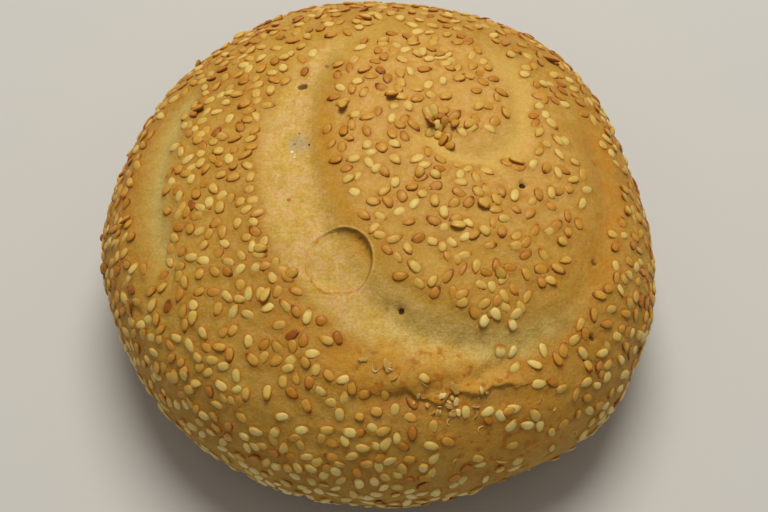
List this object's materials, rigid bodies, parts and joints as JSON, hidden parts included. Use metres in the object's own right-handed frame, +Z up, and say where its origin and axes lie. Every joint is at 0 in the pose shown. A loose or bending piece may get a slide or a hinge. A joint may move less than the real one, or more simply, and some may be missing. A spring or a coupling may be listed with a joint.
{
  "type": "bread roll",
  "caption": "Round domed sesame bread roll with a pressed crescent valley, a round hub mark, curved grooves and seeds baked into its crust.",
  "frame": {"origin": "middle of the roll's bounding box in plan, on the table that its flat base stands on", "axes": "+Z up through the dome, +X to the right and -Y towards the viewer of the picture, so the crescent valley curves round the left and front of the raised petal"},
  "size_m": [0.1178, 0.119, 0.056],
  "materials": {
    "crust": "dry golden-brown baked crust with baked-on sesame seeds"
  },
  "bodies": {
    "root": {"bread_roll": "crust"}
  },
  "joints": []
}
